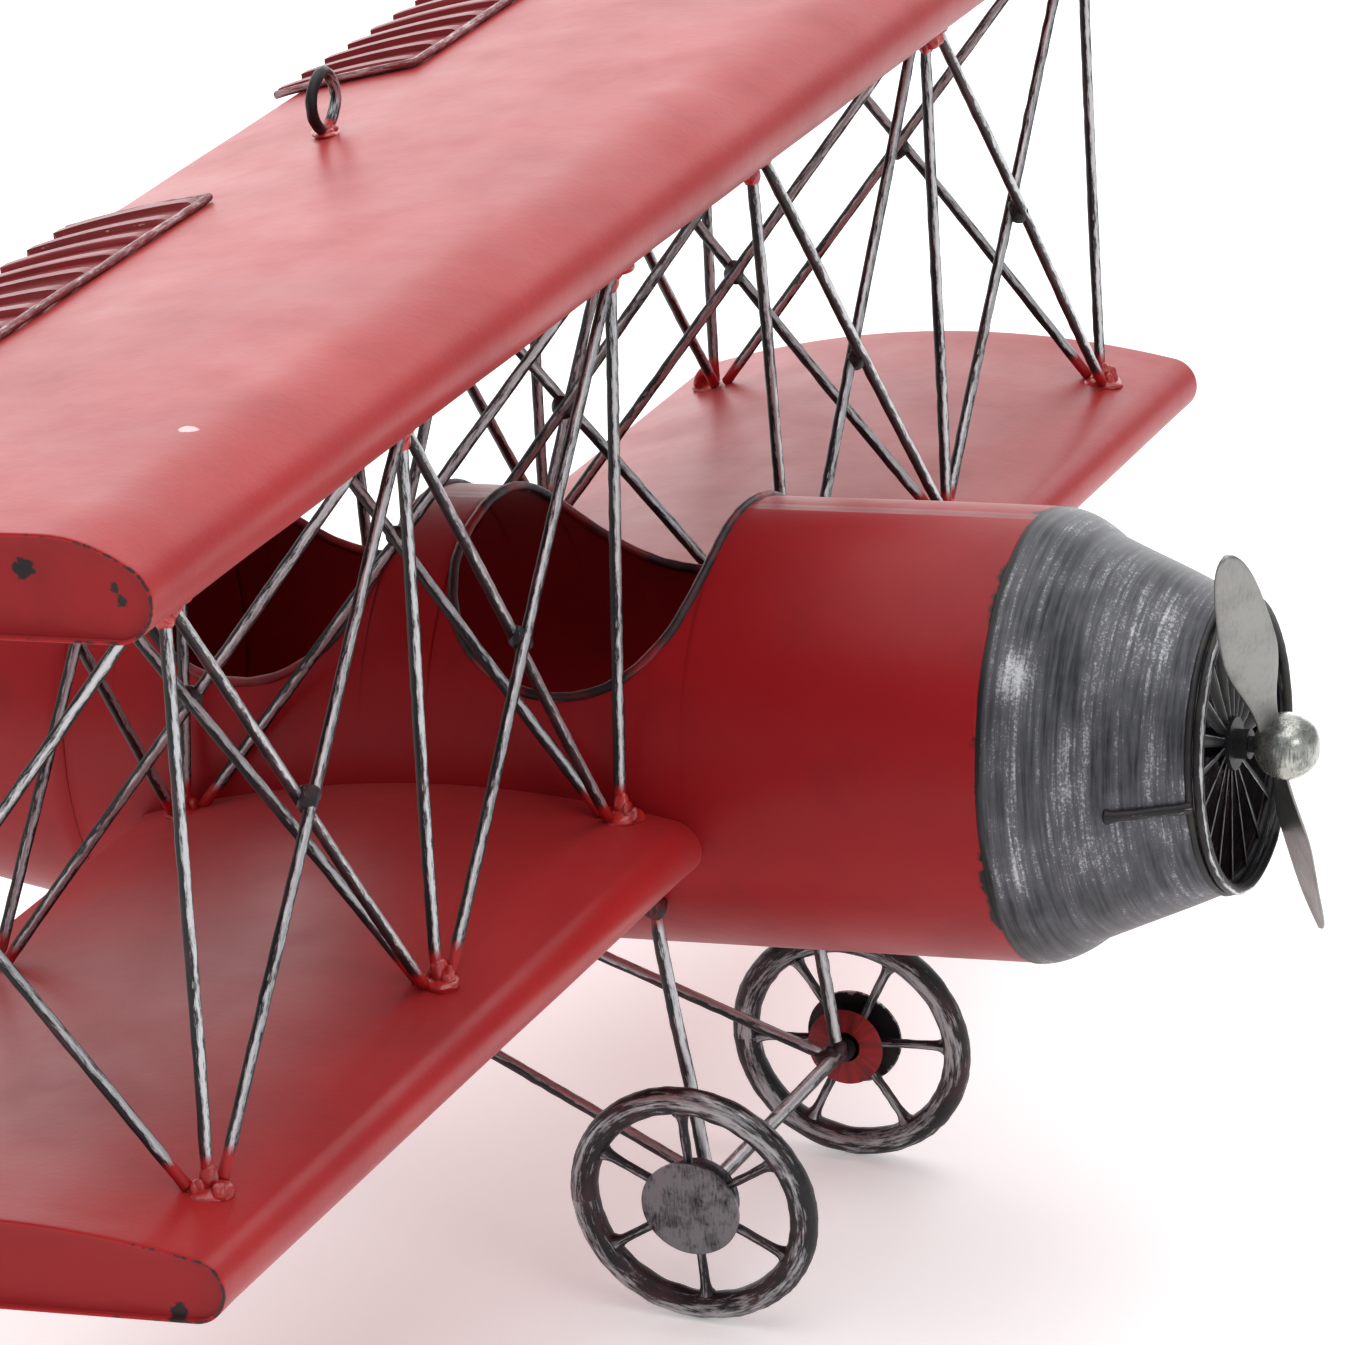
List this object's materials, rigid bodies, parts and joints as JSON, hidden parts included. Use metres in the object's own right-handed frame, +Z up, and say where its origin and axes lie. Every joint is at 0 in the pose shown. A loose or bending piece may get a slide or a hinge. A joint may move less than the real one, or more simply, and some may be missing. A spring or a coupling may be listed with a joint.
{
  "type": "biplane scale model",
  "caption": "Free-standing sheet-metal biplane model with wire-braced wings, open cockpits, a turning propeller and spoked wheels that roll.",
  "frame": {"origin": "on the ground under the middle of the model's overall box", "axes": "+Z up, -Y towards the nose, -X towards the right wing tip"},
  "size_m": [0.67, 0.5496, 0.2889],
  "materials": {
    "red_enamel": "satin red enamel, rubbed dark along edges",
    "dark_red_enamel": "darker red enamel on corrugated sheet",
    "painted_weld": "lumpy weld brushed over with red enamel",
    "cowling_black": "black paint dry-brushed with silver round the cone",
    "blackened_wire": "black wire with silver rubbed along the high side",
    "pewter": "brushed pewter grey"
  },
  "bodies": {
    "airframe": {"fuselage_shell": "red_enamel", "front_cockpit_rim": "blackened_wire", "rear_cockpit_rim": "blackened_wire", "tail_cone": "red_enamel", "tail_cap": "red_enamel", "cowling": "cowling_black", "cowling_hoop": "blackened_wire", "cowling_hook": "blackened_wire", "grille_hoop": "blackened_wire", "grille_wires": "blackened_wire", "shaft_bush": "blackened_wire", "upper_wing_skin": "red_enamel", "upper_wing_caps": "red_enamel", "right_aileron": "dark_red_enamel", "left_aileron": "dark_red_enamel", "aileron_borders": "blackened_wire", "hanging_ring": "blackened_wire", "ring_weld": "painted_weld", "right_lower_wing": "red_enamel", "left_lower_wing": "red_enamel", "lower_wing_caps": "red_enamel", "right_struts": "blackened_wire", "left_struts": "blackened_wire", "right_outer_cross": "blackened_wire", "right_middle_cross": "blackened_wire", "right_inner_cross": "blackened_wire", "left_inner_cross": "blackened_wire", "left_middle_cross": "blackened_wire", "left_outer_cross": "blackened_wire", "right_outer_bracing": "blackened_wire", "right_inner_bracing": "blackened_wire", "left_inner_bracing": "blackened_wire", "left_outer_bracing": "blackened_wire", "lower_welds": "painted_weld", "upper_welds": "painted_weld", "right_front_leg": "blackened_wire", "left_front_leg": "blackened_wire", "right_rear_leg": "blackened_wire", "left_rear_leg": "blackened_wire", "gear_welds": "blackened_wire", "axle": "blackened_wire", "axle_collars": "blackened_wire", "fin": "red_enamel", "rudder": "dark_red_enamel", "tailplane": "red_enamel", "elevators": "dark_red_enamel", "tail_skid": "blackened_wire", "skid_welds": "blackened_wire"},
    "propeller": {"propeller_shaft": "pewter", "shaft_collar": "blackened_wire", "propeller_hub": "pewter", "upper_blade": "pewter", "lower_blade": "pewter"},
    "right_wheel": {"right_tyre": "blackened_wire", "right_spokes": "blackened_wire", "right_hub": "blackened_wire"},
    "left_wheel": {"left_tyre": "blackened_wire", "left_spokes": "blackened_wire", "left_hub": "blackened_wire"}
  },
  "joints": [
    {"name": "propeller_spin", "type": "hinge", "parent": "airframe", "child": "propeller", "pos_m": [0, -0.26659, 0.14761], "axis": [0, -0.9963, 0.0854], "continuous": true},
    {"name": "right_wheel_roll", "type": "hinge", "parent": "airframe", "child": "right_wheel", "pos_m": [-0.056, -0.13803, 0.0317], "axis": [1, 0, 0], "continuous": true},
    {"name": "left_wheel_roll", "type": "hinge", "parent": "airframe", "child": "left_wheel", "pos_m": [0.056, -0.13803, 0.0317], "axis": [1, 0, 0], "continuous": true}
  ]
}
